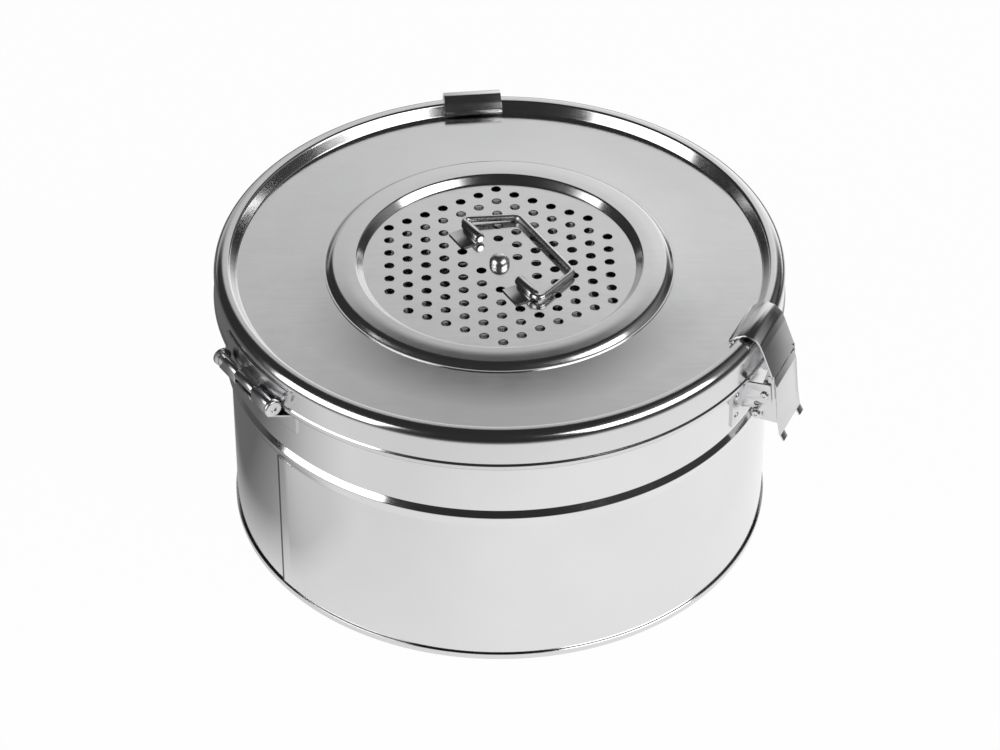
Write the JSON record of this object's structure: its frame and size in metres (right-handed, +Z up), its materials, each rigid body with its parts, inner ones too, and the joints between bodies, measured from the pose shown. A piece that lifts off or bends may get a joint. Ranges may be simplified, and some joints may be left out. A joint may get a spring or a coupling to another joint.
{
  "type": "sterilization drum",
  "caption": "Round stainless-steel sterilization drum with a hinged lid, two draw latches, a perforated filter cover and a folding wire handle.",
  "frame": {"origin": "on the drum's axis, in the plane that the bottom edge stands on", "axes": "+Z up along the drum's axis; the lid's hinge is at azimuth -146.5 degrees from +X and the latches at 96 and -24 degrees"},
  "size_m": [0.356, 0.3667, 0.1819],
  "materials": {
    "steel_sheet": "bright rolled stainless sheet",
    "steel_bright": "polished stainless",
    "gasket_rubber": "matt silicone rubber",
    "filter_cloth": "plain woven cotton"
  },
  "bodies": {
    "drum": {"drum_shell": "steel_sheet", "drum_bottom": "steel_sheet", "bottom_filter_cloth": "filter_cloth", "bottom_filter_plate": "steel_sheet", "bottom_stud": "steel_bright", "hinge_body_leaf": "steel_sheet", "hinge_pin": "steel_bright", "latch_back_bracket": "steel_sheet", "latch_back_pivots": "steel_bright", "latch_back_rivets": "steel_bright", "latch_right_bracket": "steel_sheet", "latch_right_pivots": "steel_bright", "latch_right_rivets": "steel_bright"},
    "lid": {"lid_shell": "steel_sheet", "lid_gasket": "gasket_rubber", "filter_cover": "steel_sheet", "lid_filter_cloth": "filter_cloth", "lid_filter_plate": "steel_sheet", "filter_stud": "steel_bright", "dome_nut": "steel_bright", "handle_bracket_left": "steel_sheet", "handle_bracket_right": "steel_sheet", "hinge_lid_leaf": "steel_sheet"},
    "handle": {"handle": "steel_bright"},
    "lid_nut": {"lid_wing_nut": "steel_bright"},
    "bottom_nut": {"bottom_wing_nut": "steel_bright"},
    "back_lever": {"latch_back_lever": "steel_sheet", "latch_back_hook_pin": "steel_bright"},
    "back_hook": {"latch_back_hook": "steel_sheet"},
    "right_lever": {"latch_right_lever": "steel_sheet", "latch_right_hook_pin": "steel_bright"},
    "right_hook": {"latch_right_hook": "steel_sheet"}
  },
  "joints": [
    {"name": "lid_hinge", "type": "hinge", "parent": "drum", "child": "lid", "pos_m": [-0.14801, -0.09797, 0.1584], "axis": [0.5519, -0.8339, 0], "range_deg": [0, 105]},
    {"name": "handle_swing", "type": "hinge", "parent": "lid", "child": "handle", "pos_m": [0, 0, 0.1749], "axis": [0.5, -0.866, 0], "range_deg": [0, 165]},
    {"name": "lid_nut_spin", "type": "hinge", "parent": "lid", "child": "lid_nut", "pos_m": [0, 0, 0.158], "axis": [0, 0, 1], "continuous": true},
    {"name": "bottom_nut_spin", "type": "hinge", "parent": "drum", "child": "bottom_nut", "pos_m": [0, 0, 0.012], "axis": [0, 0, 1], "continuous": true},
    {"name": "back_latch", "type": "hinge", "parent": "drum", "child": "back_lever", "pos_m": [-0.0188, 0.17891, 0.1426], "axis": [0.9945, 0.1045, 0], "range_deg": [0, 150]},
    {"name": "back_hook_swing", "type": "hinge", "parent": "back_lever", "child": "back_hook", "pos_m": [-0.01826, 0.17374, 0.1262], "axis": [0.9945, 0.1045, 0], "range_deg": [-330, 0]},
    {"name": "right_latch", "type": "hinge", "parent": "drum", "child": "right_lever", "pos_m": [0.16435, -0.07317, 0.1426], "axis": [-0.4067, -0.9135, 0], "range_deg": [0, 150]},
    {"name": "right_hook_swing", "type": "hinge", "parent": "right_lever", "child": "right_hook", "pos_m": [0.1596, -0.07106, 0.1262], "axis": [-0.4067, -0.9135, 0], "range_deg": [-330, 0]}
  ],
  "couplings": [
    {"joint": "back_hook_swing", "follows": "back_latch", "ratio": -2.2},
    {"joint": "right_hook_swing", "follows": "right_latch", "ratio": -2.2}
  ]
}
